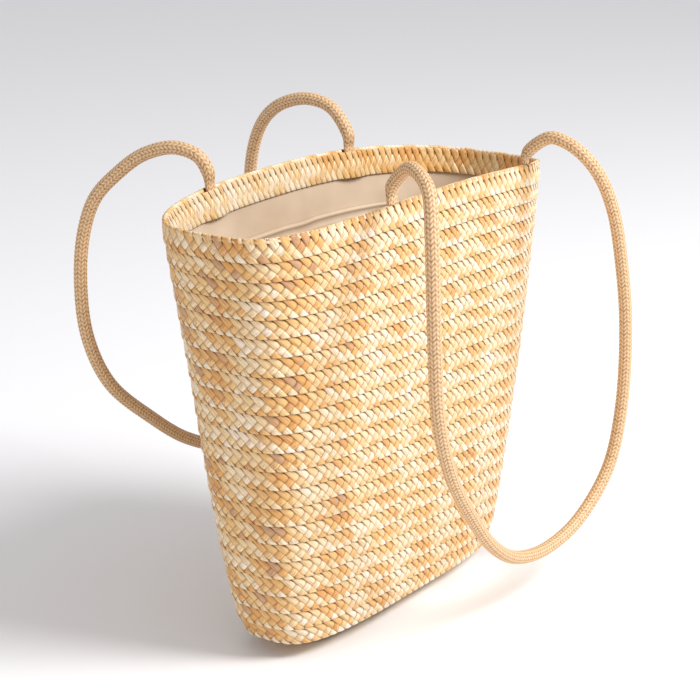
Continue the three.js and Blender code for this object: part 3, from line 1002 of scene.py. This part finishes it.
# %% Handle routes
CORD_RADIUS = 5
FOOT_INSET = 4.2
FOOT_BOTTOM = LINING_TOP + 1.6
FOOT_TOP, LOW_FOOT_TOP, FOOT_POINTS = 10.5, 6.5, 4
CORD_FRONT, CORD_BACK = 71, 74
CURVE_STEPS = 40
FRONT_RUN = [
    [-0.319, 2.0, 1.055], [-0.373, 19.0, 1.086], [-0.449, 41.0, 1.058], [-0.514, 52.0, 0.972],
    [-0.535, 56.0, 0.858], [-0.519, 56.0, 0.726], [-0.476, 54.0, 0.591], [-0.362, 51.0, 0.446],
    [-0.178, 48.0, 0.314], [0.011, 45.0, 0.209], [0.205, 43.0, 0.145], [0.454, 43.0, 0.120],
    [0.714, 45.0, 0.151], [0.908, 49.0, 0.246], [0.962, 53.0, 0.382], [0.935, 57.0, 0.594],
    [0.876, 57.0, 0.757], [0.811, 55.0, 0.883], [0.754, 49.0, 0.964], [0.709, 39.0, 1.016],
    [0.698, 25.0, 1.042], [0.697, 11.0, 1.047],
]
BACK_RUN = [
    [-0.476, 0.0, 1.062], [-0.497, 18.0, 1.077], [-0.519, 43.0, 1.055], [-0.546, 63.0, 1.009],
    [-0.573, 80.0, 0.951], [-0.578, 91.0, 0.871], [-0.578, 96.0, 0.760], [-0.551, 96.0, 0.625],
    [-0.454, 92.0, 0.502], [-0.238, 86.0, 0.388], [-0.032, 81.0, 0.305], [0.162, 78.0, 0.265],
    [0.357, 79.0, 0.292], [0.497, 84.0, 0.394], [0.557, 91.0, 0.554], [0.557, 96.0, 0.738],
    [0.524, 95.0, 0.898], [0.492, 80.0, 1.015], [0.465, 58.0, 1.074], [0.465, 31.0, 1.098],
    [0.470, 10.0, 1.083],
]


def foot_line(name):
    top = LOW_FOOT_TOP if name == "front_right" else FOOT_TOP
    heights = np.linspace(FOOT_BOTTOM, HEIGHT + top, FOOT_POINTS)
    return [ring(height, FOOT_INSET, [FOOT_SHARES[name]])[0] for height in heights]


def handle_route(left, run, right, side, depth):
    free = [(along * MOUTH_LENGTH / 2, side * (depth + out), up * HEIGHT) for along, out, up in run]
    return np.array(foot_line(left) + free + foot_line(right)[::-1])


def between(t, start, end, first, second):
    return (end - t) / (end - start) * first + (t - start) / (end - start) * second


def smooth_line(points, step):
    points = np.vstack([2 * points[0] - points[1], points, 2 * points[-1] - points[-2]])
    gaps = np.maximum(np.linalg.norm(np.diff(points, axis=0), axis=1) ** 0.5, 1e-4)
    knots = np.concatenate([[0], np.cumsum(gaps)])
    fine = []
    for index in range(1, len(points) - 2):
        t0, t1, t2, t3 = knots[index - 1:index + 3]
        p0, p1, p2, p3 = points[index - 1:index + 3]
        t = np.linspace(t1, t2, CURVE_STEPS, endpoint=False)[:, None]
        a1 = between(t, t0, t1, p0, p1)
        a2 = between(t, t1, t2, p1, p2)
        a3 = between(t, t2, t3, p2, p3)
        b1 = between(t, t0, t2, a1, a2)
        b2 = between(t, t1, t3, a2, a3)
        fine.append(between(t, t1, t2, b1, b2))
    fine = np.vstack(fine + [points[-2:-1]])
    run = np.concatenate([[0], np.cumsum(np.linalg.norm(np.diff(fine, axis=0), axis=1))])
    at = np.linspace(0, run[-1], int(run[-1] / step) + 1)
    return np.stack([np.interp(at, run, fine[:, axis]) for axis in range(3)], axis=1), run[-1]


print("front route points", len(FRONT_RUN) + 2 * FOOT_POINTS)

# %% [markdown]
# The tube's frames are carried along without twist, so that the braid's columns run
# straight. The sewn ends are pressed flat, and the cord is round again above the rim.

# %% Frames and feet of a cord
TUBE_STEP = 0.62
FRAME_START = [0.3, 0.9, 0.1]
FOOT_FLAT, FOOT_WIDE = 0.48, 1.1
FLAT_END, FLAT_GONE = 15, 27


def carried_frames(line):
    tangents = np.gradient(line, axis=0)
    tangents /= np.linalg.norm(tangents, axis=1)[:, None]
    side = np.cross(tangents[0], FRAME_START)
    sides = []
    for tangent in tangents:
        side = side - tangent * np.dot(side, tangent)
        side = side / np.linalg.norm(side)
        sides.append(side)
    sides = np.array(sides)
    return sides, np.cross(tangents, sides)


def wall_normal(foot):
    shares = [FOOT_SHARES[foot]]
    inward = ring(HEIGHT, 1, shares)[0] - ring(HEIGHT, 0, shares)[0]
    return inward / np.linalg.norm(inward)


def squeeze_feet(points, line, length, feet):
    from_start = np.arange(len(line)) * TUBE_STEP
    for foot, run in zip(feet, (from_start, length - from_start)):
        normal = wall_normal(foot)
        share = (1 - smooth_ramp(run, FLAT_END, FLAT_GONE))[:, None, None]
        spread = points - line[:, None]
        through = (spread @ normal)[..., None] * normal
        level = spread - through
        wide, flat = 1 + (FOOT_WIDE - 1) * share, 1 + (FOOT_FLAT - 1) * share
        points = line[:, None] + level * wide + through * flat
    return points


print("feet flat for mm", FLAT_END)

# %% [markdown]
# The braid is raised on the tube: picks in columns lean left and right in turn, so that
# neighbouring columns make the V shapes of a braid. The material reads how far each
# point is raised, and paints shade into the grooves as a darker colour.

# %% Braided tube
COLUMNS, AROUND = 12, 48
PICK_LENGTH, LEAN = 3.3, 0.8
BRAID_DEPTH, LEAST_PICK, LEAST_RIDGE = 0.8, 0.25, 0.5
RIDGE_WIDTH = 1.85


def braided_cord(name, route, feet, material):
    line, length = smooth_line(route, TUBE_STEP)
    sides, ups = carried_frames(line)
    angle = np.arange(AROUND) / AROUND
    column = angle * COLUMNS
    across = (column % 1) - 0.5
    lean = np.where(np.floor(column) % 2 == 0, 1, -1)
    along = np.arange(len(line))[:, None] * TUBE_STEP / PICK_LENGTH
    phase = (along + lean[None] * across[None] * LEAN) % 1
    ridge = np.sqrt(np.clip(1 - (RIDGE_WIDTH * across[None]) ** 4, 0, 1))
    pick = np.clip(1 - (2 * phase - 1) ** 2, 0, 1) ** 0.6
    raised = (LEAST_PICK + (1 - LEAST_PICK) * pick) * (LEAST_RIDGE + (1 - LEAST_RIDGE) * ridge)
    radius = CORD_RADIUS - BRAID_DEPTH * (1 - raised)
    turn = angle * 2 * math.pi
    points = line[:, None] + radius[..., None] * (
        np.cos(turn)[None, :, None] * sides[:, None] + np.sin(turn)[None, :, None] * ups[:, None]
    )
    points = squeeze_feet(points, line, length, feet)
    quads = grid_faces(len(line), AROUND)
    last = (len(line) - 1) * AROUND
    caps = [tuple(range(AROUND))[::-1], tuple(range(last, last + AROUND))]
    cord = mesh_object(name, points.reshape(-1, 3), quads + caps, material)
    braid = [np.broadcast_to(along, phase.shape), np.broadcast_to(column, phase.shape), pick * ridge]
    add_vectors(cord.data, "braid", np.stack(braid, -1))
    print(name, "length mm", round(length), "quads", len(quads))
    return cord, line, length


# %% [markdown]
# The cord's tan runs from a painted shade of dark brown in the grooves to a pale gold on the picks.

# %% Cord material and the two handles
CORD_STOPS_GROOVE_SHADE = [(0.0, (0.17, 0.07, 0.026)), (0.4, (0.46, 0.26, 0.12)), (0.9, (0.80, 0.57, 0.34))]


def cord_material(name):
    material, tree = new_material(name)
    braid = make(tree, "ShaderNodeAttribute", {"attribute_name": "braid"}, None, "Vector")
    height = make(tree, "ShaderNodeSeparateXYZ", None, {"Vector": braid}).out("Z")
    # the colour follows the braid's height, so the grooves get painted shade
    colour = make(tree, "ShaderNodeValToRGB", {"stops": CORD_STOPS_GROOVE_SHADE}, {"Fac": height})
    finish_material(tree, {
        "Base Color": colour, "Roughness": 0.5, "Specular IOR Level": 0.4,
    })
    return material


CORD = cord_material("braided_cord")
handles = {
    "front_handle": ("front_left", FRONT_RUN, "front_right", -1, CORD_FRONT),
    "back_handle": ("back_left", BACK_RUN, "back_right", 1, CORD_BACK),
}
for node, (left, run, right, side, depth) in handles.items():
    route = handle_route(left, run, right, side, depth)
    cord, line, length = braided_cord(node + "_cord", route, (left, right), CORD)
    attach(cord, "root")
    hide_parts(node)

# %% [markdown]
# ## Floor and light
# A pale floor, a bright room and one large soft light, high up before the front wall, as
# in a photograph taken by a window. The left end of the bag falls into half shade, which
# a weak warm light keeps from going grey.

# %% Stage and lights
FLOOR_HALF = 9
LIGHTS = [
    ("window", (0.45, -1.75, 1.95), (0, 0, 0.18), 1.2, 68, (1.0, 0.99, 0.98)),
    ("fill", (-1.9, -0.5, 0.7), (0, 0, 0.2), 1.2, 3, (1.0, 0.72, 0.42)),
]
ROOM_COLOUR, ROOM_STRENGTH = (0.97, 0.97, 1.0, 1), 0.62


def plain_floor():
    material, tree = new_material("pale_floor")
    finish_material(tree, {
        "Base Color": (0.93, 0.93, 0.94, 1), "Roughness": 0.9,
    })
    half = FLOOR_HALF / MM
    corners = [(-half, -half, 0), (half, -half, 0), (half, half, 0), (-half, half, 0)]
    mesh_object("floor", corners, [(0, 1, 2, 3)], material, False)


def soft_light(name, place, target, size, power, colour):
    data = bpy.data.lights.new(name, "AREA")
    data.shape = "DISK"
    data.size = size
    data.energy = power
    data.color = colour
    item = add_object(name, data)
    item.location = place
    item.rotation_euler = (Vector(target) - Vector(place)).to_track_quat("-Z", "Y").to_euler()


plain_floor()
for light in LIGHTS:
    soft_light(*light)
bpy.context.scene.view_settings.view_transform = "Standard"
world = bpy.data.worlds.new("room")
bpy.context.scene.world = world
world.use_nodes = True
background = world.node_tree.nodes["Background"]
background.inputs["Color"].default_value = ROOM_COLOUR
background.inputs["Strength"].default_value = ROOM_STRENGTH
print("lights", len(bpy.data.lights))

# %% [markdown]
# ## Finish
# The three repeats only served the node tree, so they go. The dressed part has to stay
# in the solid's box, apart from the little that straw stands proud.

# %% Finish
for helper in (edge_repeat, row_repeat, facing_repeat):
    bpy.data.objects.remove(helper)
